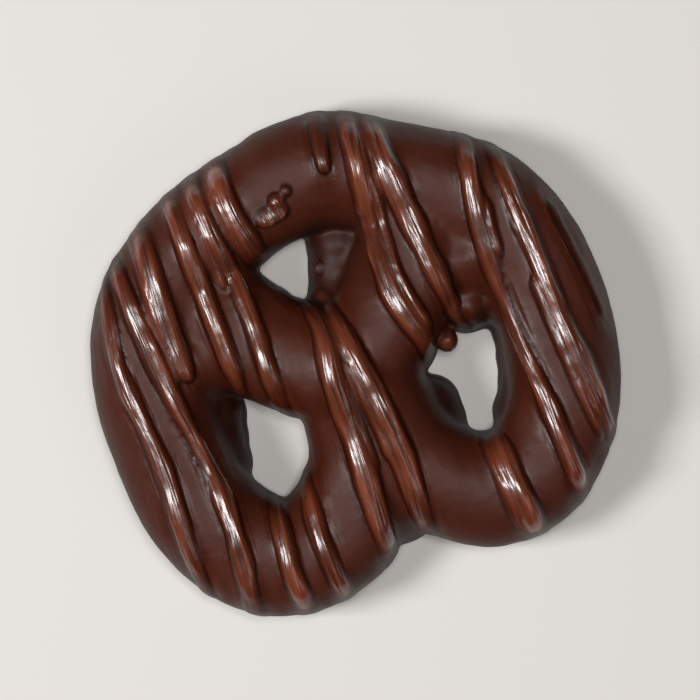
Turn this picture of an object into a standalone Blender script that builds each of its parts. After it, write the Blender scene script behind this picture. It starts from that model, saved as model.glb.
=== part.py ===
"""A chocolate covered pretzel with a drizzle of chocolate over it, in one solid piece.

It lies flat on its underside. X runs across the two lobes, Y runs from the notch
between the lobes to the base bar, and Z runs up. The origin is the middle of the
underside's box. Sizes below are millimetres, and the meshes are made in metres.
"""

import math

import bmesh
import bpy
from mathutils import Matrix, Vector
from mathutils.bvhtree import BVHTree

MM = 0.001

# The coated rope, in two halves. Each half starts at its end on the outer bar, runs
# over the crossing, round its lobe and along the base bar to just past the middle.
# Every station is x, y, half width and height.
RIGHT_HALF = [
    (-12.5, 10.8, 5.2, 9.8),
    (-10.3, 6.6, 5.6, 10.8),
    (-6.9, 2.4, 5.6, 11.6),
    (-2.5, -1.0, 5.7, 12.6),
    (0.6, -5.2, 5.4, 12.0),
    (2.0, -11.6, 5.4, 11.2),
    (6.7, -17.3, 5.7, 10.8),
    (13.1, -17.7, 5.7, 10.8),
    (18.4, -12.0, 5.7, 11.0),
    (20.3, -3.4, 5.8, 11.2),
    (19.6, 4.0, 6.0, 11.0),
    (16.5, 9.8, 6.0, 10.8),
    (10.5, 14.4, 5.6, 10.8),
    (3.7, 17.9, 5.7, 11.0),
    (-2.3, 18.0, 5.6, 10.8),
]
LEFT_HALF = [
    (10.7, 11.2, 5.4, 10.4),
    (9.3, 7.0, 5.8, 10.9),
    (5.7, 2.8, 5.8, 11.3),
    (1.3, -1.2, 5.7, 11.4),
    (-1.2, -5.4, 5.4, 11.2),
    (-2.5, -11.0, 5.4, 11.0),
    (-6.5, -16.2, 6.0, 10.8),
    (-11.9, -17.8, 5.8, 10.8),
    (-16.7, -15.0, 6.0, 10.8),
    (-19.8, -9.0, 5.8, 11.0),
    (-20.4, -2.0, 5.7, 11.0),
    (-19.3, 5.0, 6.0, 10.8),
    (-16.7, 11.0, 5.8, 10.8),
    (-10.7, 15.2, 5.7, 10.8),
    (-4.5, 17.3, 5.6, 10.8),
    (1.5, 18.0, 5.6, 10.8),
]

# Chocolate that has pooled between the bars, and lower down inside the three holes:
# x, y, radius and height.
POOLS = [
    (-1.0, -15.6, 4.9, 9.0),
    (13.9, 4.8, 5.2, 10.2),
    (4.9, -1.2, 3.8, 9.0),
    (-14.7, 4.4, 5.0, 10.0),
    (-0.3, -3.0, 5.4, 11.8),
    (12.6, 0.2, 3.0, 8.4),
    (2.5, 10.3, 3.2, 5.2),
    (1.6, 7.8, 3.1, 5.0),
    (0.6, 5.6, 3.0, 5.4),
    (6.2, -7.9, 2.6, 4.8),
    (6.2, -9.9, 2.5, 4.8),
    (16.6, -4.0, 2.7, 5.4),
    (16.1, -6.8, 2.7, 5.4),
    (15.2, -9.2, 2.6, 5.4),
    (13.9, -11.5, 2.6, 5.4),
    (-14.6, -1.6, 2.6, 5.2),
    (-15.1, -4.1, 2.5, 5.0),
    (-15.4, -6.7, 2.4, 5.0),
]
POOL_SEGMENTS = 20
POOL_RINGS = 14

# The rope's section: its widest level, the fullness of its crown and its foot.
WAIST_SHARE = 0.36
CROWN_POWER = 2.25
FOOT_SHARE = 0.88
CROWN_STEPS = 10
FLANK_STEPS = 3
BELOW = 1.2  # every piece starts this far under the underside, and is cut off there
ROPE_STEP = 1.6
CURVE_STEPS = 12
END_STEPS = 20
ON_AXIS = 1e-6  # closer than this to the axis counts as on it

# The drizzle: x, y points of each strand on the plan, with its width and height.
STRANDS = [
    ("a", 2.0, 0.8, [
        (-20.4, 15.8), (-21.0, 12.4), (-22.0, 5.4), (-21.5, -1.5), (-21.3, -6.0),
        (-21.6, -12.0), (-21.6, -17.8),
    ]),
    ("b", 2.2, 0.9, [(-19.1, 16.0), (-18.2, 3.0), (-16.8, -9.1), (-17.7, -22.0)]),
    ("c", 2.4, 0.9, [(-15.6, 19.0), (-16.0, 8.4), (-15.9, 2.7)]),
    ("d", 2.2, 0.9, [
        (-11.6, 20.4), (-11.6, 12.0), (-11.6, -0.4), (-12.5, -14.4), (-12.9, -18.8),
        (-12.7, -24.2),
    ]),
    ("e", 2.2, 0.9, [
        (-9.2, 21.0), (-8.8, 15.2), (-8.1, 7.0), (-8.2, -2.0), (-7.6, -5.8),
        (-8.8, -13.0), (-9.0, -18.0), (-8.6, -23.4),
    ]),
    ("f", 2.6, 1.0, [
        (-6.5, 22.8), (-6.4, 17.5), (-5.7, 13.5), (-5.0, 11.0), (-2.0, 4.3),
        (-2.5, -2.8), (-2.7, -10.7), (-3.0, -17.5), (-3.1, -21.0),
    ]),
    ("g", 2.0, 0.7, [(4.7, 23.6), (3.7, 17.4)]),
    ("k", 2.6, 1.0, [(-0.4, 5.0), (1.3, -9.5), (1.0, -21.2)]),
    ("h", 2.6, 1.0, [(7.6, 21.4), (5.9, 6.4), (7.2, -1.0), (7.6, -4.2)]),
    ("i", 2.6, 1.0, [
        (9.5, 20.4), (9.7, 16.2), (10.2, 9.1), (11.0, -0.5), (10.7, -13.4),
        (11.5, -24.0),
    ]),
    ("l", 2.2, 0.9, [(17.7, 16.8), (16.0, 2.6), (16.7, -12.6), (17.0, -21.6)]),
    ("m", 2.2, 0.9, [(20.0, 15.4), (20.7, -1.5), (21.6, -16.6)]),
    ("n", 1.5, 0.5, [(23.6, 7.5), (24.1, 2.4), (24.6, -1.5), (24.9, -5.5)]),
]
STRAND_STEP = 2.3
DRAPE_STEP = 0.25
SHORTEST_RUN = 3.0
DRIP_LEVEL = 4.2  # a strand runs over an edge as far down as this
STEEPEST = 0.22  # and not where the surface faces up by less than this
SKY = 40.0  # well above the pretzel
STRAND_TIP = 0.62  # how full a strand is at its two ends

# A strand's section round its middle: shares of its width and of its height. What is
# below 0 is sunk in the coat.
STRAND_SECTION = [(0.5, -0.3), (0.36, 0.62), (0.0, 1.0), (-0.36, 0.62), (-0.5, -0.3), (0.0, -0.9)]

# Melting the rope, pools and drizzle together.
MELT_VOXEL = 0.7
MELT_SOFTENING = 0.5
MELT_ROUNDS = 3
CORE_SHARE = 0.24

CHOCOLATE_COLOUR = (0.066, 0.0225, 0.0145, 1.0)
CHOCOLATE_ROUGHNESS = 0.36


def remove_objects():
    for obj in list(bpy.data.objects):
        bpy.data.objects.remove(obj, do_unlink=True)


def chocolate():
    material = bpy.data.materials.new("milk_chocolate")
    material.use_nodes = True
    shader = material.node_tree.nodes["Principled BSDF"]
    shader.inputs["Base Color"].default_value = CHOCOLATE_COLOUR
    shader.inputs["Roughness"].default_value = CHOCOLATE_ROUGHNESS
    shader.inputs["Metallic"].default_value = 0.0
    return material


def even_run(points, step, axes):
    """The same line with its points an even distance apart, measured along its first axes."""
    lengths = [0.0]
    for near, far in zip(points, points[1:]):
        lengths.append(lengths[-1] + math.dist(near[:axes], far[:axes]))
    count = max(2, round(lengths[-1] / step))
    run = []
    span = 0
    for k in range(count + 1):
        along = lengths[-1] * k / count
        while span < len(points) - 2 and lengths[span + 1] < along:
            span += 1
        share = (along - lengths[span]) / (lengths[span + 1] - lengths[span])
        run.append([a + share * (b - a) for a, b in zip(points[span], points[span + 1])])
    return run


def curve_value(before, start, stop, after, t):
    """A cubic from start to stop, whose slopes follow the values on both sides."""
    bend = 3 * (start - stop) + after - before
    return start + 0.5 * t * (
        stop - before + t * (2 * before - 5 * start + 4 * stop - after + t * bend)
    )


def smooth_run(points, step):
    """Places a step apart along the smooth curve through points whose first two values are x, y."""
    first = [2 * a - b for a, b in zip(points[0], points[1])]
    last = [2 * a - b for a, b in zip(points[-1], points[-2])]
    knots = [first, *points, last]
    fine = []
    for span in zip(knots, knots[1:], knots[2:], knots[3:]):
        for k in range(CURVE_STEPS):
            fine.append([curve_value(*values, k / CURVE_STEPS) for values in zip(*span)])
    fine.append(points[-1])
    return even_run(fine, step, 2)


def rope_section(half_width, height):
    """Side and level of each point round the rope: a flat foot, round flanks and a crown."""
    waist = WAIST_SHARE * height
    foot = FOOT_SHARE * half_width
    flank = [(foot, -BELOW)]
    for k in range(FLANK_STEPS):
        turn = math.pi / 2 * k / FLANK_STEPS
        flank.append((foot + (half_width - foot) * math.sin(turn), waist * (1 - math.cos(turn))))
    crown = []
    for k in range(CROWN_STEPS + 1):
        turn = math.pi * k / CROWN_STEPS
        side = math.copysign(abs(math.cos(turn)) ** (2 / CROWN_POWER), math.cos(turn))
        rise = math.sin(turn) ** (2 / CROWN_POWER)
        crown.append((half_width * side, waist + (height - waist) * rise))
    return flank + crown + [(-side, level) for side, level in reversed(flank)]


def loft(name, rings):
    """One closed body through rings of points, with a flat cap on each end."""
    bm = bmesh.new()
    loops = []
    for ring in rings:
        made = bmesh.ops.create_circle(bm, segments=len(ring), radius=MM)
        for vert, point in zip(made["verts"], ring):
            vert.co = Vector(point) * MM
        loops.append(list({edge for vert in made["verts"] for edge in vert.link_edges}))
    for near, far in zip(loops, loops[1:]):
        bmesh.ops.bridge_loops(bm, edges=near + far)
    for end in (loops[0], loops[-1]):
        bmesh.ops.contextual_create(bm, geom=end)
    bmesh.ops.recalc_face_normals(bm, faces=bm.faces)
    mesh = bpy.data.meshes.new(name)
    bm.to_mesh(mesh)
    bm.free()
    obj = bpy.data.objects.new(name, mesh)
    bpy.context.scene.collection.objects.link(obj)
    return obj


def rope_half(name, stations):
    run = smooth_run(stations, ROPE_STEP)
    rings = []
    for k, (x, y, half_width, height) in enumerate(run):
        ahead = run[min(k + 1, len(run) - 1)]
        behind = run[max(k - 1, 0)]
        along = Vector((ahead[0] - behind[0], ahead[1] - behind[1])).normalized()
        across = Vector((-along.y, along.x))
        rings.append(
            [
                (x + across.x * side, y + across.y * side, level)
                for side, level in rope_section(half_width, height)
            ]
        )
    return loft(name, rings)


def rounded_end(name, x, y, half_width, height):
    """The same section turned about an upright axis, which rounds off a rope's end."""
    section = [(s, z) for s, z in rope_section(half_width, height) if s > -ON_AXIS]
    bm = bmesh.new()
    verts = [bm.verts.new(Vector((side, 0.0, level)) * MM) for side, level in section]
    verts.insert(0, bm.verts.new((0.0, 0.0, -BELOW * MM)))
    edges = [bm.edges.new(pair) for pair in zip(verts, verts[1:])]
    bmesh.ops.spin(
        bm,
        geom=verts + edges,
        cent=(0, 0, 0),
        axis=(0, 0, 1),
        angle=2 * math.pi,
        steps=END_STEPS,
        use_merge=True,
    )
    bmesh.ops.remove_doubles(bm, verts=bm.verts, dist=ON_AXIS)
    bmesh.ops.translate(bm, verts=bm.verts, vec=(x * MM, y * MM, 0.0))
    bmesh.ops.recalc_face_normals(bm, faces=bm.faces)
    mesh = bpy.data.meshes.new(name)
    bm.to_mesh(mesh)
    bm.free()
    obj = bpy.data.objects.new(name, mesh)
    bpy.context.scene.collection.objects.link(obj)
    return obj


def pool(name, x, y, radius, height):
    """A low dome of chocolate."""
    bm = bmesh.new()
    bmesh.ops.create_uvsphere(bm, u_segments=POOL_SEGMENTS, v_segments=POOL_RINGS, radius=1.0)
    size = Matrix.Diagonal((radius * MM, radius * MM, height * MM, 1.0))
    bmesh.ops.transform(bm, matrix=size, verts=bm.verts)
    bmesh.ops.translate(bm, verts=bm.verts, vec=(x * MM, y * MM, 0.0))
    mesh = bpy.data.meshes.new(name)
    bm.to_mesh(mesh)
    bm.free()
    obj = bpy.data.objects.new(name, mesh)
    bpy.context.scene.collection.objects.link(obj)
    return obj


def apply_modifiers(obj):
    """Leave on the object the mesh that its modifiers make."""
    graph = bpy.context.evaluated_depsgraph_get()
    mesh = bpy.data.meshes.new_from_object(obj.evaluated_get(graph))
    obj.modifiers.clear()
    obj.data = mesh


def join(name, objects):
    """All the objects' meshes in one object, still as separate bodies."""
    bm = bmesh.new()
    for obj in objects:
        bm.from_mesh(obj.data)
        bpy.data.objects.remove(obj, do_unlink=True)
    mesh = bpy.data.meshes.new(name)
    bm.to_mesh(mesh)
    bm.free()
    whole = bpy.data.objects.new(name, mesh)
    bpy.context.scene.collection.objects.link(whole)
    return whole


def melt(obj):
    """Run the bodies of an object together into one soft skin of few triangles."""
    remesh = obj.modifiers.new("melt", "REMESH")
    remesh.mode = "VOXEL"
    remesh.voxel_size = MELT_VOXEL * MM
    soften = obj.modifiers.new("soften", "SMOOTH")
    soften.factor = MELT_SOFTENING
    soften.iterations = MELT_ROUNDS
    thin = obj.modifiers.new("thin", "DECIMATE")
    thin.ratio = CORE_SHARE
    apply_modifiers(obj)


def cut_flat(obj):
    """Cut the body off level at the underside, and close it."""
    bm = bmesh.new()
    bm.from_mesh(obj.data)
    whole = list(bm.verts) + list(bm.edges) + list(bm.faces)
    bmesh.ops.bisect_plane(bm, geom=whole, plane_co=(0, 0, 0), plane_no=(0, 0, 1), clear_inner=True)
    rim = [edge for edge in bm.edges if edge.is_boundary]
    bmesh.ops.triangle_fill(bm, edges=rim, use_beauty=True, normal=(0, 0, -1))
    bmesh.ops.triangulate(bm, faces=bm.faces)
    bmesh.ops.recalc_face_normals(bm, faces=bm.faces)
    bm.to_mesh(obj.data)
    bm.free()


def draped_runs(skin, points):
    """The stretches of a strand that lie on the skin. Each holds places, with the way up there."""
    runs = [[]]
    for x, y in smooth_run(points, DRAPE_STEP):
        place, up, _, _ = skin.ray_cast(Vector((x, y, SKY)) * MM, Vector((0, 0, -1)))
        if place and place.z > DRIP_LEVEL * MM and up.z > STEEPEST:
            runs[-1].append([*(place / MM), *up])
        elif runs[-1]:
            runs.append([])
    long_enough = [run for run in runs if len(run) * DRAPE_STEP > SHORTEST_RUN]
    return [even_run(run, STRAND_STEP, 3) for run in long_enough]


def strand(name, run, width, height):
    """One strand of drizzle along a draped run, narrower at both ends."""
    rings = []
    last = len(run) - 1
    for k, station in enumerate(run):
        middle = Vector(station[:3])
        along = Vector(run[min(k + 1, last)][:3]) - Vector(run[max(k - 1, 0)][:3])
        across = along.cross(Vector(station[3:])).normalized()
        up = across.cross(along).normalized()
        full = STRAND_TIP if k in (0, last) else 1.0
        rings.append(
            [
                middle + across * (side * width * full) + up * (lift * height * full)
                for side, lift in STRAND_SECTION
            ]
        )
    return loft(name, rings)


def drizzle(core):
    """Every strand, in a collection of their own."""
    bm = bmesh.new()
    bm.from_mesh(core.data)
    skin = BVHTree.FromBMesh(bm)
    bm.free()
    strands = bpy.data.collections.new("drizzle")
    bpy.context.scene.collection.children.link(strands)
    for letter, width, height, points in STRANDS:
        for k, run in enumerate(draped_runs(skin, points)):
            obj = strand(f"strand_{letter}_{k}", run, width, height)
            bpy.context.scene.collection.objects.unlink(obj)
            strands.objects.link(obj)
    return strands


def fuse(core, strands):
    """One Boolean union of the core with every strand."""
    union = core.modifiers.new("fuse", "BOOLEAN")
    union.operation = "UNION"
    union.operand_type = "COLLECTION"
    union.collection = strands
    union.solver = "EXACT"
    apply_modifiers(core)
    for obj in list(strands.objects):
        bpy.data.objects.remove(obj, do_unlink=True)
    bpy.data.collections.remove(strands)


def pretzel():
    pieces = [rope_half("right_rope", RIGHT_HALF), rope_half("left_rope", LEFT_HALF)]
    for side, stations in (("right", RIGHT_HALF), ("left", LEFT_HALF)):
        pieces.append(rounded_end(f"{side}_end", *stations[0]))
    for k, spot in enumerate(POOLS):
        pieces.append(pool(f"pool_{k}", *spot))
    body = join("chocolate_pretzel", pieces)
    melt(body)
    cut_flat(body)
    fuse(body, drizzle(body))
    body.data.name = "chocolate_pretzel"
    body.data.materials.clear()
    body.data.materials.append(chocolate())
    return body


remove_objects()
pretzel()
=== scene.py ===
"""The looks of a chocolate covered pretzel: its poured coat, with the drizzle melted onto it.

The coat and the drizzle are one piece. It is modelled as the rope and its pools, run
together, with the strands laid over the top. Lists are in millimetres, as a maker
would measure them, and meshes are in metres.
"""

import math
import random

import bmesh
import bpy
from mathutils import Matrix, Vector, noise
from mathutils.bvhtree import BVHTree
from mathutils.kdtree import KDTree


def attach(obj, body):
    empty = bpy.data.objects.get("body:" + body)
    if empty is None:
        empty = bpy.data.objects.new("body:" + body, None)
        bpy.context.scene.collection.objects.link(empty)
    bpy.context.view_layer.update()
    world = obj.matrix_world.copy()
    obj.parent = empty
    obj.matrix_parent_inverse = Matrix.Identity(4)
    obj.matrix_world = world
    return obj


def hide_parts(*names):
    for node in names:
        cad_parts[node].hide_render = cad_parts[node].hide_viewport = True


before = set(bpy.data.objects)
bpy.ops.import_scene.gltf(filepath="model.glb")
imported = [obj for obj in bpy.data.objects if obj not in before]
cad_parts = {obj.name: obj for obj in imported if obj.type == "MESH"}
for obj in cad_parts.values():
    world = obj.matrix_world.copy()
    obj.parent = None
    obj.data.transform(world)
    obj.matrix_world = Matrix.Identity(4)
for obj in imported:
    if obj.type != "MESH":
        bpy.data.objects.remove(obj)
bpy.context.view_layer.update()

MM = 0.001
NODE = "chocolate_pretzel"
SLOT = "milk_chocolate"

# The coated rope in two halves, each from its end on the outer bar, over the crossing,
# round its lobe and along the base bar: x, y, half width and height.
RIGHT_HALF = [
    (-12.5, 10.8, 5.2, 9.8),
    (-10.3, 6.6, 5.6, 10.8),
    (-6.9, 2.4, 5.6, 11.6),
    (-2.5, -1.0, 5.7, 12.6),
    (0.6, -5.2, 5.4, 12.0),
    (2.0, -11.6, 5.4, 11.2),
    (6.7, -17.3, 5.7, 10.8),
    (13.1, -17.7, 5.7, 10.8),
    (18.4, -12.0, 5.7, 11.0),
    (20.3, -3.4, 5.8, 11.2),
    (19.6, 4.0, 6.0, 11.0),
    (16.5, 9.8, 6.0, 10.8),
    (10.5, 14.4, 5.6, 10.8),
    (3.7, 17.9, 5.7, 11.0),
    (-2.3, 18.0, 5.6, 10.8),
]
LEFT_HALF = [
    (10.7, 11.2, 5.4, 10.4),
    (9.3, 7.0, 5.8, 10.9),
    (5.7, 2.8, 5.8, 11.3),
    (1.3, -1.2, 5.7, 11.4),
    (-1.2, -5.4, 5.4, 11.2),
    (-2.5, -11.0, 5.4, 11.0),
    (-6.5, -16.2, 6.0, 10.8),
    (-11.9, -17.8, 5.8, 10.8),
    (-16.7, -15.0, 6.0, 10.8),
    (-19.8, -9.0, 5.8, 11.0),
    (-20.4, -2.0, 5.7, 11.0),
    (-19.3, 5.0, 6.0, 10.8),
    (-16.7, 11.0, 5.8, 10.8),
    (-10.7, 15.2, 5.7, 10.8),
    (-4.5, 17.3, 5.6, 10.8),
    (1.5, 18.0, 5.6, 10.8),
]

# Chocolate pooled between the bars: x, y, radius and height.
POOLS = [
    (-1.0, -15.6, 4.9, 9.0),
    (13.9, 4.8, 5.2, 10.2),
    (4.9, -1.2, 3.8, 9.0),
    (-14.7, 4.4, 5.0, 10.0),
    (-0.3, -3.0, 5.4, 11.8),
    (12.6, 0.2, 3.0, 8.4),
    (2.5, 10.3, 3.2, 5.2),
    (1.6, 7.8, 3.1, 5.0),
    (0.6, 5.6, 3.0, 5.4),
    (6.2, -7.9, 2.6, 4.8),
    (6.2, -9.9, 2.5, 4.8),
    (16.6, -4.0, 2.7, 5.4),
    (16.1, -6.8, 2.7, 5.4),
    (15.2, -9.2, 2.6, 5.4),
    (13.9, -11.5, 2.6, 5.4),
    (-14.6, -1.6, 2.6, 5.2),
    (-15.1, -4.1, 2.5, 5.0),
    (-15.4, -6.7, 2.4, 5.0),
]

# Loose drops on the coat: x, y, radius and how far they stand proud. One that hangs
# from the rim of a hole has its middle at the level below.
RIM_LEVEL = 5.6
DROPS = [
    (9.4, -2.3, 1.3, 1.9),
    (-8.1, 4.5, 1.0, 0.4),
    (-3.2, 15.5, 1.3, 0.45),
    (-2.1, 15.7, 1.3, 0.5),
    (-1.8, 16.5, 0.9, 0.6),
    (-0.5, 17.2, 0.6, 0.35),
    (0.1, 8.6, 0.8, 0.5),
]

# The drizzle: each strand's name, width, height and x, y points.
STRANDS = [
    ("a", 2.0, 0.8, [
        (-20.4, 15.8), (-21.0, 12.4), (-22.0, 5.4), (-21.5, -1.5), (-21.3, -6.0),
        (-21.6, -12.0), (-21.6, -17.8),
    ]),
    ("b", 2.2, 0.9, [(-19.1, 16.0), (-18.2, 3.0), (-16.8, -9.1), (-17.7, -22.0)]),
    ("c", 2.4, 0.9, [(-15.6, 19.0), (-16.0, 8.4), (-15.9, 2.7)]),
    ("d", 2.2, 0.9, [
        (-11.6, 20.4), (-11.6, 12.0), (-11.6, -0.4), (-12.5, -14.4), (-12.9, -18.8),
        (-12.7, -24.2),
    ]),
    ("e", 2.2, 0.9, [
        (-9.2, 21.0), (-8.8, 15.2), (-8.1, 7.0), (-8.2, -2.0), (-7.6, -5.8),
        (-8.8, -13.0), (-9.0, -18.0), (-8.6, -23.4),
    ]),
    ("f", 2.6, 1.0, [
        (-6.5, 22.8), (-6.4, 17.5), (-5.7, 13.5), (-5.0, 11.0), (-2.0, 4.3),
        (-2.5, -2.8), (-2.7, -10.7), (-3.0, -17.5), (-3.1, -21.0),
    ]),
    ("g", 2.0, 0.7, [(4.7, 23.6), (3.7, 17.4)]),
    ("k", 2.6, 1.0, [(-0.4, 5.0), (1.3, -9.5), (1.0, -21.2)]),
    ("h", 2.6, 1.0, [(7.6, 21.4), (5.9, 6.4), (7.2, -1.0), (7.6, -4.2)]),
    ("i", 2.6, 1.0, [
        (9.5, 20.4), (9.7, 16.2), (10.2, 9.1), (11.0, -0.5), (10.7, -13.4),
        (11.5, -24.0),
    ]),
    ("l", 2.2, 0.9, [(17.7, 16.8), (16.0, 2.6), (16.7, -12.6), (17.0, -21.6)]),
    ("m", 2.2, 0.9, [(20.0, 15.4), (20.7, -1.5), (21.6, -16.6)]),
    ("n", 1.5, 0.5, [(23.6, 7.5), (24.1, 2.4), (24.6, -1.5), (24.9, -5.5)]),
]

# The rope's section, as in the solid: its widest level, crown and foot.
WAIST_SHARE = 0.36
CROWN_POWER = 2.25
FOOT_SHARE = 0.88
CROWN_STEPS = 20
FLANK_STEPS = 6
BELOW = 1.2  # how far the bodies reach under the level that they are cut off at
ROPE_STEP = 0.8
CURVE_STEPS = 24
END_STEPS = 40
SAME_PLACE = 1e-6
POOL_STEPS = (40, 28)
DROP_STEPS = (24, 16)

# How the strands lie on the coat. A slope is the upward part of the way out of the
# coat there: 1 where it is level and 0 where it is upright.
SKY = 40.0  # the strands are laid down from this level
DRAPE_STEP = 0.12
STRAND_STEP = 0.4
SHORTEST_RUN = 2.0
LONGEST_BRIDGE = 2.0  # a strand spans a steep dip as long as this
DRIP_LEVEL = 3.7  # what lies lower than this, in a hole, has no strand on it
STEEPEST = 0.05  # nothing is laid down on a slope as steep as this
EDGE_SLOPE = 0.6  # a strand that reaches an edge as steep as this runs on down the side
LOWEST_ENDS = (2.0, 4.4)  # and ends at a level between these
ON_ONE_SIDE = "n"  # the strand that lies along one side, and crosses no edge
SAG_REACH = 0.7  # a strand bridges dips shorter than this
SEED_START = 1.3
SEED_STEP = 3.7

# The strands' section, and how it changes along them.
STRAND_SIDES = 16
STRAND_SHARE = 0.95  # the strands' lists give the melted width, foot to foot
HEIGHT_SHARE = 0.8
SIDE_HEIGHT = 0.2  # how high a strand stands where it hangs down a side
FULL_SLOPE = 0.85  # and where the coat is as level as this, it has its full height
SLOPE_POWER = 1.5
RIDGE_POWER = 1.1
SUNK_SHARE = 0.6
WANDER = 0.12
WANDER_SIZE = 9.0
WIDTH_CHANGE = 0.22
WIDTH_SIZE = 3.6
HEIGHT_CHANGE = 0.34
HEIGHT_SIZE = 2.9
CHANGES_APART = 10  # keeps the changes of width and height from going together
TIP_LENGTH = 1.6
TIP_START = 0.08

# A strand that was laid twice has a second ridge: the strand's name, how far aside the
# ridge lies, the stretch of y that it takes, its width and height.
TWINS = [
    ("c", -0.9, (2.7, 19.0), 1.5, 0.6),
    ("e", -1.2, (9.5, 21.0), 1.4, 0.5),
    ("f", -0.9, (5.0, 22.8), 1.5, 0.6),
    ("f", 1.1, (-13.0, -1.0), 1.3, 0.35),
    ("k", -1.0, (-13.0, -0.5), 1.4, 0.5),
    ("h", 1.1, (-2.0, 17.0), 1.5, 0.6),
    ("i", -1.1, (-24.0, -9.0), 1.6, 0.6),
    ("l", 1.0, (3.6, 10.4), 1.3, 0.45),
    ("m", -1.1, (-16.6, 1.0), 1.3, 0.5),
]
TWIN_STRIDE = 4  # it follows every fourth place of the strand
TWIN_SEED = 0.5

# Melting: the core first, then the core and strands together.
CORE_VOXEL = 0.35
CORE_SOFTENING = 24
SKIN_VOXEL = 0.2
SKIN_SOFTENING = 4
SOFTENING_FACTOR = 0.5
MOST_TRIANGLES = 196000
FACING_DOWN = -0.97

# Unevenness of the poured coat: size of the swells and how far they rise.
SWELLS = [(9.0, 0.20), (4.0, 0.11), (1.7, 0.04), (0.8, 0.02)]

# The foot of run-down chocolate, which spreads in lobes round the underside.
FOOT_TOP = 1.7  # it starts at this level
FOOT_SPREAD = 0.25
FOOT_SIZE = 5.0  # of its lobes
FOOT_MEAN = 0.5  # their mean share of the spread
FOOT_SLICE = 0.02  # where the lobes are cut out of the noise, in metres
FOOT_POWER = 0.8  # how soon it bulges out below its start
FOOT_TURN = 0.62  # the part of a half wave that its bulge has gone through at the underside

# A place on the drizzle is marked by how far it stands proud of the coat: 0 at the
# first of these and 1 that much further out.
FAINTEST = 0.03
PROUDEST = 0.6

# The fine ridges along the strands. On the coat beside a strand they have a share of
# their strength up to one distance and fade out by the next. They fade too midway
# between two strands, and low on the sides.
LAY_STEP = 0.2
LAY_APART = 7.3  # each strand takes its ridges from another part of the pattern
BESIDE = 0.55
BESIDE_START = 1.0
BESIDE_END = 2.6
MIDWAY_ON_COAT = 1.3
MIDWAY_ON_STRAND = 0.7
MIDWAY_POWER = 2
COMB_LEVELS = (5.0, 9.0)


def even_run(points, step, axes):
    """The same line with its points an even distance apart, measured along its first axes."""
    lengths = [0.0]
    for near, far in zip(points, points[1:]):
        lengths.append(lengths[-1] + math.dist(near[:axes], far[:axes]))
    count = max(2, round(lengths[-1] / step))
    run = []
    span = 0
    for k in range(count + 1):
        along = lengths[-1] * k / count
        while span < len(points) - 2 and lengths[span + 1] < along:
            span += 1
        share = (along - lengths[span]) / (lengths[span + 1] - lengths[span])
        run.append([a + share * (b - a) for a, b in zip(points[span], points[span + 1])])
    return run


def curve_value(before, start, stop, after, t):
    """A cubic from start to stop, whose slopes follow the values on both sides."""
    bend = 3 * (start - stop) + after - before
    return start + 0.5 * t * (
        stop - before + t * (2 * before - 5 * start + 4 * stop - after + t * bend)
    )


def smooth_run(points, step):
    """Places a step apart along the smooth curve through points whose first two values are x, y."""
    first = [2 * a - b for a, b in zip(points[0], points[1])]
    last = [2 * a - b for a, b in zip(points[-1], points[-2])]
    knots = [first, *points, last]
    fine = []
    for span in zip(knots, knots[1:], knots[2:], knots[3:]):
        for k in range(CURVE_STEPS):
            fine.append([curve_value(*values, k / CURVE_STEPS) for values in zip(*span)])
    fine.append(points[-1])
    return even_run(fine, step, 2)


def rope_section(half_width, height):
    """Side and level of each point round the rope: a flat foot, round flanks and a crown."""
    waist = WAIST_SHARE * height
    foot = FOOT_SHARE * half_width
    flank = [(foot, -BELOW)]
    for k in range(FLANK_STEPS):
        turn = math.pi / 2 * k / FLANK_STEPS
        flank.append((foot + (half_width - foot) * math.sin(turn), waist * (1 - math.cos(turn))))
    crown = []
    for k in range(CROWN_STEPS + 1):
        turn = math.pi * k / CROWN_STEPS
        side = math.copysign(abs(math.cos(turn)) ** (2 / CROWN_POWER), math.cos(turn))
        rise = math.sin(turn) ** (2 / CROWN_POWER)
        crown.append((half_width * side, waist + (height - waist) * rise))
    return flank + crown + [(-side, level) for side, level in reversed(flank)]


def add_loft(bm, rings):
    """Add to the bmesh one closed body through rings of points."""
    loops = []
    for ring in rings:
        made = bmesh.ops.create_circle(bm, segments=len(ring), radius=MM)
        for vert, point in zip(made["verts"], ring):
            vert.co = Vector(point) * MM
        loops.append(list({edge for vert in made["verts"] for edge in vert.link_edges}))
    for near, far in zip(loops, loops[1:]):
        bmesh.ops.bridge_loops(bm, edges=near + far)
    for end in (loops[0], loops[-1]):
        bmesh.ops.contextual_create(bm, geom=end)


def add_rope_half(bm, stations):
    """One half of the rope, lofted along its stations."""
    run = smooth_run(stations, ROPE_STEP)
    rings = []
    for k, (x, y, half_width, height) in enumerate(run):
        ahead = run[min(k + 1, len(run) - 1)]
        behind = run[max(k - 1, 0)]
        along = Vector((ahead[0] - behind[0], ahead[1] - behind[1])).normalized()
        across = Vector((-along.y, along.x))
        rings.append(
            [
                (x + across.x * side, y + across.y * side, level)
                for side, level in rope_section(half_width, height)
            ]
        )
    add_loft(bm, rings)


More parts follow.
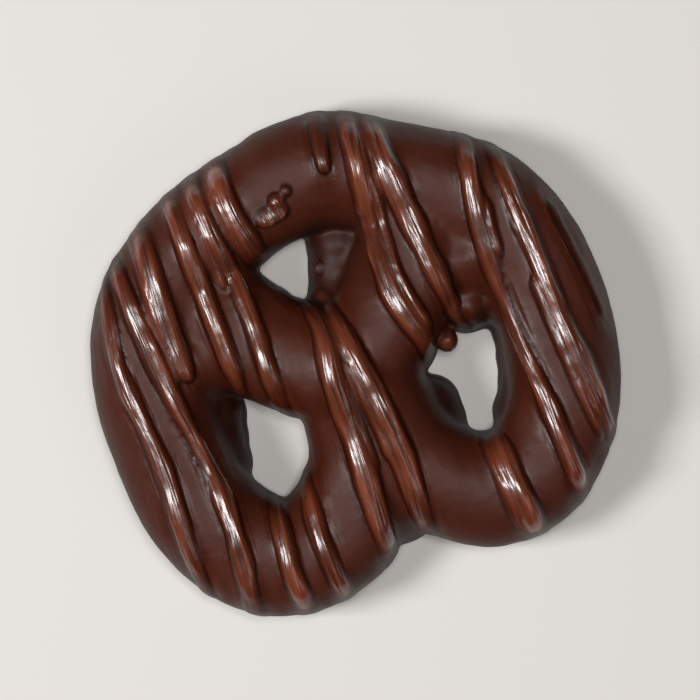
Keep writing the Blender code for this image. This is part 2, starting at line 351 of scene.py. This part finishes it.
def add_rounded_end(bm, x, y, half_width, height):
    """The rope's section turned about an upright axis, which rounds off its end."""
    section = rope_section(half_width, height)
    verts = [bm.verts.new((0.0, 0.0, -BELOW * MM))]
    for side, level in section:
        if side > -SAME_PLACE:
            verts.append(bm.verts.new(Vector((side, 0.0, level)) * MM))
    edges = [bm.edges.new(pair) for pair in zip(verts, verts[1:])]
    bmesh.ops.spin(
        bm,
        geom=verts + edges,
        cent=(0, 0, 0),
        axis=(0, 0, 1),
        angle=2 * math.pi,
        steps=END_STEPS,
        use_merge=True,
    )
    bmesh.ops.remove_doubles(bm, verts=bm.verts, dist=SAME_PLACE)
    bmesh.ops.translate(bm, verts=bm.verts, vec=(x * MM, y * MM, 0.0))


def add_ball(bm, middle, radius, height, steps):
    """A ball, flattened or drawn up so that it stands height above its middle."""
    size = Matrix.Diagonal((radius * MM, radius * MM, height * MM, 1.0))
    place = Matrix.Translation([value * MM for value in middle])
    around, upward = steps
    bmesh.ops.create_uvsphere(
        bm, u_segments=around, v_segments=upward, radius=1.0, matrix=place @ size
    )


def add_pool(bm, x, y, radius, height):
    """Chocolate pooled on the underside, between the bars."""
    add_ball(bm, (x, y, 0.0), radius, height, POOL_STEPS)


def add_drop(bm, x, y, level, radius, proud):
    """A loose drop on the coat."""
    add_ball(bm, (x, y, level), radius, proud, DROP_STEPS)


def mesh_object(name, bm):
    """An object of the bmesh, which is freed."""
    bmesh.ops.recalc_face_normals(bm, faces=bm.faces)
    mesh = bpy.data.meshes.new(name)
    bm.to_mesh(mesh)
    bm.free()
    obj = bpy.data.objects.new(name, mesh)
    bpy.context.scene.collection.objects.link(obj)
    return obj


def gathered(name, makers):
    """One object of all the bodies that the makers add, each made in a bmesh of its own."""
    whole = bmesh.new()
    for maker, values in makers:
        part = bmesh.new()
        maker(part, *values)
        bmesh.ops.recalc_face_normals(part, faces=part.faces)
        mesh = bpy.data.meshes.new("part")
        part.to_mesh(mesh)
        part.free()
        whole.from_mesh(mesh)
        bpy.data.meshes.remove(mesh)
    return mesh_object(name, whole)


def apply_modifiers(obj):
    """Make what the modifiers show the object's own mesh."""
    graph = bpy.context.evaluated_depsgraph_get()
    mesh = bpy.data.meshes.new_from_object(obj.evaluated_get(graph))
    obj.modifiers.clear()
    old = obj.data
    obj.data = mesh
    bpy.data.meshes.remove(old)


def melt(obj, voxel, softening):
    """Run the bodies of an object together into one even skin."""
    remesh = obj.modifiers.new("melt", "REMESH")
    remesh.mode = "VOXEL"
    remesh.voxel_size = voxel * MM
    soften = obj.modifiers.new("soften", "SMOOTH")
    soften.factor = SOFTENING_FACTOR
    soften.iterations = softening
    apply_modifiers(obj)


def cut_flat(obj):
    """Cut the body off level at the underside, and close it."""
    bm = bmesh.new()
    bm.from_mesh(obj.data)
    whole = list(bm.verts) + list(bm.edges) + list(bm.faces)
    bmesh.ops.bisect_plane(
        bm, geom=whole, plane_co=(0, 0, 0), plane_no=(0, 0, 1), clear_inner=True
    )
    rim = [edge for edge in bm.edges if edge.is_boundary]
    bmesh.ops.triangle_fill(bm, edges=rim, use_beauty=True, normal=(0, 0, -1))
    bmesh.ops.recalc_face_normals(bm, faces=bm.faces)
    bm.to_mesh(obj.data)
    bm.free()


def skin_of(obj):
    """The object's surface as a tree, to lay things on."""
    bm = bmesh.new()
    bm.from_mesh(obj.data)
    tree = BVHTree.FromBMesh(bm)
    bm.free()
    return tree


def drape(skin, x, y):
    """The place on the skin under x, y and the way up there, or None off its top."""
    place, up, _, _ = skin.ray_cast(Vector((x, y, SKY)) * MM, Vector((0, 0, -1)))
    if place and place.z > DRIP_LEVEL * MM and up.z > STEEPEST:
        return [*(place / MM), *up]
    return None


def bridged(places):
    """The places, with each short stretch of None replaced by a straight line across it."""
    most = round(LONGEST_BRIDGE / DRAPE_STEP)
    held = [k for k, place in enumerate(places) if place]
    for near, far in zip(held, held[1:]):
        if 1 < far - near <= most:
            for k in range(near + 1, far):
                share = (k - near) / (far - near)
                places[k] = [a + share * (b - a) for a, b in zip(places[near], places[far])]
    return places


def draped_runs(skin, points, seed, hangs=True):
    """The stretches of a strand that lie on the skin. Each holds places, with the way up there."""
    places = []
    for x, y in smooth_run([list(point) for point in points], DRAPE_STEP):
        x += WANDER * noise.noise(Vector((y / WANDER_SIZE, seed, 0.0)))
        places.append(drape(skin, x, y))
    runs = [[]]
    for place in bridged(places):
        if place:
            runs[-1].append(place)
        elif runs[-1]:
            runs.append([])
    carried = []
    for number, run in enumerate(runs):
        if len(run) * DRAPE_STEP > SHORTEST_RUN:
            rng = random.Random(seed + number)
            for _ in range(2 if hangs else 0):  # its start, then its end
                run.reverse()
                run_over_edge(skin, run, rng.uniform(*LOWEST_ENDS))
            carried.append(relaxed(even_run(run, STRAND_STEP, 3)))
    return carried


def run_over_edge(skin, run, lowest):
    """Carry the end of a run on down the side of the coat, if it ends at a steep edge."""
    if run[-1][5] > EDGE_SLOPE:
        return
    while run[-1][2] > lowest:
        below = Vector(run[-1][:3]) - Vector((0, 0, 2 * DRAPE_STEP))
        place, out, _, _ = skin.find_nearest(below * MM)
        if place.z / MM > run[-1][2] - DRAPE_STEP / 2:
            return
        run.append([*(place / MM), *out])


def relaxed(run):
    """The run with small dips bridged, as a thick strand lies."""
    reach = max(1, round(SAG_REACH / STRAND_STEP))
    last = len(run) - 1
    eased = []
    for k in range(len(run)):
        span = min(reach, k, last - k)
        near = run[k - span : k + span + 1]
        eased.append([sum(values) / len(near) for values in zip(*near)])
    return eased


def uneven(share, size, along, seed):
    """A factor about 1 that changes along a strand."""
    return 1 + share * noise.noise(Vector((along / size, seed, share * CHANGES_APART)))


def add_strand(bm, run, width, height, seed):
    """One strand of drizzle with round ends, a little uneven along its length."""
    rings = []
    last = len(run) - 1
    for k, station in enumerate(run):
        middle = Vector(station[:3])
        along = Vector(run[min(k + 1, last)][:3]) - Vector(run[max(k - 1, 0)][:3])
        across = along.cross(Vector(station[3:])).normalized()
        up = across.cross(along).normalized()
        past = min(k, last - k) * STRAND_STEP
        tip = min(1.0, (past + TIP_START) / TIP_LENGTH)
        full = math.sqrt(1 - (1 - tip) ** 2)
        spot = k * STRAND_STEP
        wide = width * full * uneven(WIDTH_CHANGE, WIDTH_SIZE, spot, seed)
        tall = height * full * uneven(HEIGHT_CHANGE, HEIGHT_SIZE, spot, seed)
        slope = min(1.0, max(0.0, station[5]) / FULL_SLOPE)
        tall *= SIDE_HEIGHT + (1 - SIDE_HEIGHT) * slope**SLOPE_POWER
        ring = []
        for side in range(STRAND_SIDES):
            turn = 2 * math.pi * side / STRAND_SIDES
            rise = math.sin(turn)
            lift = rise**RIDGE_POWER * tall if rise > 0 else rise * SUNK_SHARE * tall
            ring.append(middle + across * (math.cos(turn) * wide / 2) + up * lift)
        rings.append(ring)
    add_loft(bm, rings)


def second_ridge(skin, points, seed, aside, stretch, width, height):
    """What makes a lower ridge beside a strand, along a stretch of y."""
    low, high = stretch
    line = smooth_run([list(point) for point in points], STRAND_STEP)
    shifted = [(x + aside, y) for x, y in line if low <= y <= high]
    makers = []
    for run in draped_runs(skin, shifted[::TWIN_STRIDE], seed):
        makers.append((add_strand, (run, width, height, seed + TWIN_SEED)))
    return makers


def drizzle_makers(skin):
    """What makes every strand, second ridge and drop, with the values that it takes."""
    makers = []
    for number, (name, width, height, points) in enumerate(STRANDS):
        seed = SEED_STEP * number + SEED_START
        for run in draped_runs(skin, points, seed, hangs=name != ON_ONE_SIDE):
            size = (width * STRAND_SHARE, height * HEIGHT_SHARE)
            makers.append((add_strand, (run, *size, seed)))
        for twin in TWINS:
            if twin[0] == name:
                makers += second_ridge(skin, points, seed, *twin[1:])
    for x, y, radius, proud in DROPS:
        place, _, _, _ = skin.ray_cast(Vector((x, y, SKY)) * MM, Vector((0, 0, -1)))
        level = place.z / MM if place else RIM_LEVEL
        makers.append((add_drop, (x, y, level, radius, proud)))
    return makers


def swell(place):
    """How far the coat stands proud at a place, in millimetres."""
    rise = 0.0
    for size, depth in SWELLS:
        rise += depth * noise.noise(place / (size * MM))
    return rise


def make_uneven(obj):
    """Swells over the whole coat, and a foot of run-down chocolate round the underside."""
    bm = bmesh.new()
    bm.from_mesh(obj.data)
    bm.normal_update()
    for vert in bm.verts:
        place = vert.co.copy()
        level = place.z / MM
        settled = min(1.0, level / FOOT_TOP)
        vert.co += vert.normal * swell(place) * settled * MM
        if level < FOOT_TOP:
            outward = Vector((vert.normal.x, vert.normal.y, 0.0))
            spot = Vector((place.x, place.y, FOOT_SLICE)) / (FOOT_SIZE * MM)
            lobe = max(0.0, FOOT_MEAN + noise.noise(spot))
            down = min(1.0, (FOOT_TOP - level) / FOOT_TOP) ** FOOT_POWER
            bulge = math.sin(math.pi * down * FOOT_TURN)
            vert.co += outward * lobe * bulge * FOOT_SPREAD * MM
        vert.co.z = max(vert.co.z, 0.0)
    bm.to_mesh(obj.data)
    bm.free()


def thin_out(obj, most):
    """Leave the object with no more triangles than most."""
    obj.data.calc_loop_triangles()
    triangles = len(obj.data.loop_triangles)
    if triangles > most:
        thin = obj.modifiers.new("thin", "DECIMATE")
        thin.ratio = most / triangles
        apply_modifiers(obj)


def joined_to(start):
    """All the points of the body that a point belongs to."""
    body = {start}
    fresh = [start]
    while fresh:
        vert = fresh.pop()
        for edge in vert.link_edges:
            other = edge.other_vert(vert)
            if other not in body:
                body.add(other)
                fresh.append(other)
    return body


def clear_specks(obj):
    """Delete the specks that melting leaves shut in under the surface."""
    bm = bmesh.new()
    bm.from_mesh(obj.data)
    outer = joined_to(max(bm.verts, key=lambda vert: vert.co.z))
    specks = [vert for vert in bm.verts if vert not in outer]
    bmesh.ops.delete(bm, geom=specks, context="VERTS")
    bm.to_mesh(obj.data)
    bm.free()


def mark_drizzle(obj, skin):
    """An attribute that is 1 on the strands and 0 on the coat between them."""
    marks = obj.data.attributes.new("drizzle", "FLOAT", "POINT")
    for vert, mark in zip(obj.data.vertices, marks.data):
        nearest, up, _, _ = skin.find_nearest(vert.co)
        proud = (vert.co - nearest).dot(up) / MM - swell(vert.co)
        mark.value = max(0.0, min(1.0, (proud - FAINTEST) / PROUDEST))


def strand_lines():
    """Each strand's line as seen from above, with a tree that finds the nearest place on it."""
    lines = []
    for _, _, _, points in STRANDS:
        line = smooth_run([list(point) for point in points], LAY_STEP)
        tree = KDTree(len(line))
        for index, (x, y) in enumerate(line):
            tree.insert((x, y, 0.0), index)
        tree.balance()
        lines.append((line, tree))
    return lines


def comb_share(distance, nearer, raised, level):
    """How strong the fine ridges are at a place.

    It lies at a distance from the nearest strand's line, which is that much nearer than
    the next one's, and raised is 0 on the coat and 1 on a strand.
    """
    beside = min(1.0, max(0.0, (BESIDE_END - distance) / (BESIDE_END - BESIDE_START)))
    on_coat = BESIDE * beside * min(1.0, nearer / MIDWAY_ON_COAT) ** MIDWAY_POWER
    on_strand = raised * min(1.0, nearer / MIDWAY_ON_STRAND) ** MIDWAY_POWER
    low, high = COMB_LEVELS
    return max(on_coat, on_strand) * min(1.0, max(0.0, (level - low) / (high - low)))


def mark_lay(obj):
    """Attributes for the fine ridges: each place across and along its strand, and their share."""
    lines = strand_lines()
    proud = [mark.value for mark in obj.data.attributes["drizzle"].data]
    places = []
    shares = []
    for vert, raised in zip(obj.data.vertices, proud):
        here = vert.co / MM
        flat = Vector((here.x, here.y, 0.0))
        found = []
        for number, (_, tree) in enumerate(lines):
            _, index, distance = tree.find(flat)
            found.append((distance, number, index))
        found.sort()
        distance, number, index = found[0]
        line = lines[number][0]
        index = min(index, len(line) - 2)
        spot = Vector(line[index])
        way = (Vector(line[index + 1]) - spot).normalized()
        away = flat.to_2d() - spot
        along = index * LAY_STEP + way.dot(away)
        places += [way.cross(away), along, LAY_APART * number]
        shares.append(comb_share(distance, found[1][0] - distance, raised, here.z))
    lay = obj.data.attributes.new("lay", "FLOAT_VECTOR", "POINT")
    lay.data.foreach_set("vector", places)
    combed = obj.data.attributes.new("combed", "FLOAT", "POINT")
    combed.data.foreach_set("value", shares)


# Milk chocolate: the coat's two browns, and the tone that the strands turn them to, with painted
# shade along their feet and a partly painted highlight on their crests.
COAT_BROWNS = [(0.034, 0.0064, 0.0025, 1.0), (0.053, 0.0096, 0.0036, 1.0)]
MOTTLE_SCALE = 260.0
GRAIN_SCALE = 1500.0

# By how far a place stands proud: painted shade along the strands' feet, and lighter along their
# crests, partly the drizzle's lighter chocolate and partly a painted highlight.
UNTONED = (1.0, 1.0, 1.0, 1.0)
STRAND_SHADE_AND_HIGHLIGHT_TONES = [
    (0.0, UNTONED),
    (0.08, (0.34, 0.34, 0.34, 1.0)),
    (0.28, (0.60, 0.60, 0.60, 1.0)),
    (0.60, (1.45, 1.45, 1.45, 1.0)),
    (1.0, (2.3, 2.9, 3.3, 1.0)),
]

# Ranges, in pairs: what is measured, and what it is carried over to. Levels are in metres.
WHOLE = (0.0, 1.0)
# Painted shade: the colour darkens lower down, on the sides and in the holes.
PAINTED_SHADE_LEVELS = (0.002, 0.0098)
PAINTED_SHADE_TONES = (0.36, 1.0)
TONED_LEVELS = (0.0035, 0.0075)
RIDGE_RANGE = (0.32, 0.68)
# Painted shade in the fine ridges' valleys and painted highlight on their crests.
RIDGE_SHADE_AND_HIGHLIGHT_TONES = (0.42, 1.38)
COAT_DULLNESS = (0.46, 0.60)
STRAND_DULLNESS = 0.19
GLAZED_SHARES = (0.56, 0.85)

# The fine ridges are narrow across a strand and long along it. Depths are in metres.
RIDGE_STRETCH = (1.9, 0.14, 1.0)
RIDGE_DEPTH = 0.00028
GRAIN_DEPTH = 0.0001
GRAIN_STRENGTH = 0.25


def set_inputs(tree, node, inputs):
    """Set each of a node's inputs to a value, or link it to a socket."""
    for name, value in inputs.items():
        if isinstance(value, bpy.types.NodeSocket):
            tree.links.new(value, node.inputs[name])
        else:
            node.inputs[name].default_value = value


def add_node(tree, kind, inputs, **settings):
    """A new node of a material, with its settings and inputs."""
    node = tree.nodes.new(kind)
    for name, value in settings.items():
        setattr(node, name, value)
    set_inputs(tree, node, inputs)
    return node


def attribute(tree, name, kind="Fac"):
    """One of the marks that the piece carries on its points."""
    return add_node(tree, "ShaderNodeAttribute", {}, attribute_name=name).outputs[kind]


def pattern(tree, place, scale, detail, roughness=0.5):
    """A soft random pattern."""
    inputs = {"Vector": place, "Scale": scale, "Detail": detail, "Roughness": roughness}
    return add_node(tree, "ShaderNodeTexNoise", inputs).outputs["Fac"]


def carried_over(tree, source, given, wanted, way="LINEAR"):
    """The source's values, carried from one range over to another."""
    inputs = {
        "Value": source,
        "From Min": given[0],
        "From Max": given[1],
        "To Min": wanted[0],
        "To Max": wanted[1],
    }
    node = add_node(tree, "ShaderNodeMapRange", inputs, interpolation_type=way)
    return node.outputs["Result"]


def blend(tree, share, first, second, data_type="FLOAT"):
    """From the first, where the share is 0, to the second, where it is 1."""
    inputs = {"Factor": share, "A": first, "B": second}
    return add_node(tree, "ShaderNodeMix", inputs, data_type=data_type).outputs["Result"]


def product(tree, first, second):
    """Two values multiplied."""
    node = add_node(tree, "ShaderNodeMath", {0: first, 1: second}, operation="MULTIPLY")
    return node.outputs["Value"]


def vector_product(tree, first, second):
    """Two vectors, or a colour and its tone, multiplied part by part."""
    node = add_node(tree, "ShaderNodeVectorMath", {0: first, 1: second}, operation="MULTIPLY")
    return node.outputs["Vector"]


def relief(tree, height, depth, strength=1.0, under=None):
    """The way out of a surface with this height pattern on it, over another relief if given."""
    inputs = {"Height": height, "Distance": depth, "Strength": strength}
    if under:
        inputs["Normal"] = under
    return add_node(tree, "ShaderNodeBump", inputs).outputs["Normal"]


def chocolate_colour(tree, place, mottle, ridges, combed):
    """Mottled on the coat, toned by the strands on top with painted shade and highlight, with
    painted shade low on the sides and in the holes, and painted shade and highlight along the fine
    ridges.
    """
    coat = blend(tree, mottle, *COAT_BROWNS, data_type="RGBA")
    # Painted shade along the strands' feet, and crests partly lighter chocolate and partly painted
    # highlight.
    strand_shade_and_highlight = add_node(tree, "ShaderNodeValToRGB", {"Fac": attribute(tree, "drizzle")})
    stops = strand_shade_and_highlight.color_ramp.elements
    stops[0].color = STRAND_SHADE_AND_HIGHLIGHT_TONES[0][1]
    stops[1].color = STRAND_SHADE_AND_HIGHLIGHT_TONES[-1][1]
    for proud, colour in STRAND_SHADE_AND_HIGHLIGHT_TONES[1:-1]:
        stops.new(proud).color = colour
    level = add_node(tree, "ShaderNodeSeparateXYZ", {"Vector": place}).outputs["Z"]
    upper = carried_over(tree, level, TONED_LEVELS, WHOLE)
    faded = blend(tree, upper, UNTONED, strand_shade_and_highlight.outputs["Color"], data_type="RGBA")
    toned = vector_product(tree, coat, faded)

    # Painted shade, darker lower down on the sides and in the holes.
    side = carried_over(tree, level, PAINTED_SHADE_LEVELS, PAINTED_SHADE_TONES, "SMOOTHSTEP")
    # Painted shade and highlight along the fine ridges.
    ridge_shade_and_highlight = blend(tree, combed, 1.0, carried_over(tree, ridges, RIDGE_RANGE, RIDGE_SHADE_AND_HIGHLIGHT_TONES))
    shade = product(tree, side, ridge_shade_and_highlight)
    inputs = {0: toned, "Scale": shade}
    return add_node(tree, "ShaderNodeVectorMath", inputs, operation="SCALE").outputs["Vector"]


def chocolate():
    """Milk chocolate, dull on the coat and glossy on the strands, with fine ridges along them."""
    material = bpy.data.materials.new(SLOT)
    material.use_nodes = True
    tree = material.node_tree
    place = tree.nodes.new("ShaderNodeTexCoord").outputs["Object"]
    combed = attribute(tree, "combed")
    mottle = pattern(tree, place, scale=MOTTLE_SCALE, detail=3.0)
    grain = pattern(tree, place, scale=GRAIN_SCALE, detail=4.0)
    drawn_out = vector_product(tree, attribute(tree, "lay", "Vector"), RIDGE_STRETCH)
    ridges = pattern(tree, drawn_out, scale=1.0, detail=1.5, roughness=0.45)

    dullness = carried_over(tree, mottle, WHOLE, COAT_DULLNESS)
    ridged = relief(tree, product(tree, ridges, combed), RIDGE_DEPTH)
    grained = relief(tree, grain, GRAIN_DEPTH, GRAIN_STRENGTH, under=ridged)
    looks = {
        "Base Color": chocolate_colour(tree, place, mottle, ridges, combed),
        "Roughness": blend(tree, combed, dullness, STRAND_DULLNESS),
        "IOR": 1.33,
        "Specular IOR Level": 0.38,
        "Normal": grained,
        "Subsurface Weight": 0.06,
        "Subsurface Radius": (1.0, 0.35, 0.15),
        "Subsurface Scale": 0.0008,
        "Coat Weight": carried_over(tree, combed, GLAZED_SHARES, WHOLE),
        "Coat Roughness": 0.27,
        "Coat IOR": 1.5,
        "Coat Normal": ridged,
    }
    set_inputs(tree, tree.nodes["Principled BSDF"], looks)
    return material


def coated_rope():
    """The rope and its pools, run together and cut off flat."""
    makers = [(add_rope_half, (half,)) for half in (RIGHT_HALF, LEFT_HALF)]
    makers += [(add_rounded_end, half[0]) for half in (RIGHT_HALF, LEFT_HALF)]
    makers += [(add_pool, spot) for spot in POOLS]
    core = gathered("core", makers)
    melt(core, CORE_VOXEL, CORE_SOFTENING)
    cut_flat(core)
    return core


def pretzel():
    """The whole piece: the coated rope with the drizzle melted onto it."""
    core = coated_rope()
    skin = skin_of(core)
    strands = gathered("strands", drizzle_makers(skin))
    whole = bmesh.new()
    whole.from_mesh(core.data)
    whole.from_mesh(strands.data)
    for helper in (core, strands):
        bpy.data.objects.remove(helper, do_unlink=True)
    piece = mesh_object("pretzel_coat_and_drizzle", whole)
    melt(piece, SKIN_VOXEL, SKIN_SOFTENING)
    make_uneven(piece)
    thin_out(piece, MOST_TRIANGLES)
    clear_specks(piece)
    mark_drizzle(piece, skin)
    mark_lay(piece)
    piece.data.shade_smooth()
    for face in piece.data.polygons:
        face.use_smooth = face.normal.z > FACING_DOWN
    piece.data.materials.clear()
    piece.data.materials.append(chocolate())
    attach(piece, "root")
    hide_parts(NODE)
    return piece


# Light, camera and floor, in metres.
PHOTO_UP = Vector((0.342, 0.940, 0.0))
PHOTO_RIGHT = Vector((0.940, -0.342, 0.0))
CAMERA_DISTANCE = 0.45
CAMERA_LEAN = 0.042  # how far towards the photo's top the camera stands, for 1 of height
FRAME_WIDTH = 0.070
SENSOR = 36.0  # in millimetres
NEAREST_SEEN = 0.01
MIDDLE = Vector((0.0, 0.0, 0.005))
FLOOR_REACH = 1.5
PALE_GREY = (0.52, 0.498, 0.472, 1.0)

# Lights: name, places along the photo's right and up, height, width and power.
SOFTBOXES = [
    ("overhead", 0.03, 0.05, 0.68, 0.16, 3.0),
    ("left", -0.38, -0.04, 0.46, 0.16, 3.3),
    ("right", 0.34, -0.26, 0.50, 0.30, 0.4),
]
SKY_STRENGTH = 0.015


def paper_floor():
    """A plain pale sheet under the pretzel."""
    bm = bmesh.new()
    bmesh.ops.create_grid(bm, x_segments=1, y_segments=1, size=FLOOR_REACH)
    floor = mesh_object("floor", bm)
    material = bpy.data.materials.new("pale_paper")
    material.use_nodes = True
    tree = material.node_tree
    paper = {"Base Color": PALE_GREY, "Roughness": 0.7}
    set_inputs(tree, tree.nodes["Principled BSDF"], paper)
    floor.data.materials.append(material)


def softbox(name, right, up, height, size, power):
    """A square area light, aimed at the pretzel."""
    lamp = bpy.data.lights.new(name, "AREA")
    lamp.energy = power
    lamp.size = size
    holder = bpy.data.objects.new(name, lamp)
    bpy.context.scene.collection.objects.link(holder)
    holder.location = PHOTO_RIGHT * right + PHOTO_UP * up + Vector((0, 0, height))
    holder.rotation_euler = (MIDDLE - holder.location).to_track_quat("-Z", "Y").to_euler()


def studio():
    """Soft light from above and the left, a little from the right, and a faint white sky."""
    for box in SOFTBOXES:
        softbox(*box)
    world = bpy.data.worlds.new("studio")
    world.use_nodes = True
    tree = world.node_tree
    white_sky = {"Color": (1.0, 1.0, 1.0, 1.0), "Strength": SKY_STRENGTH}
    set_inputs(tree, tree.nodes["Background"], white_sky)
    bpy.context.scene.world = world
    bpy.context.scene.view_settings.view_transform = "Standard"


def camera():
    """A camera nearly straight above, turned as the photo's was."""
    lens = bpy.data.cameras.new("camera")
    lens.sensor_width = SENSOR
    lens.lens = SENSOR * CAMERA_DISTANCE / FRAME_WIDTH
    lens.clip_start = NEAREST_SEEN
    holder = bpy.data.objects.new("camera", lens)
    bpy.context.scene.collection.objects.link(holder)
    back = (PHOTO_UP * CAMERA_LEAN + Vector((0, 0, 1))).normalized()
    up = (PHOTO_UP - back * PHOTO_UP.dot(back)).normalized()
    right = up.cross(back)
    turned = Matrix((right, up, back)).transposed().to_4x4()
    holder.matrix_world = Matrix.Translation(MIDDLE + back * CAMERA_DISTANCE) @ turned
    bpy.context.scene.camera = holder


pretzel()
paper_floor()
studio()
camera()
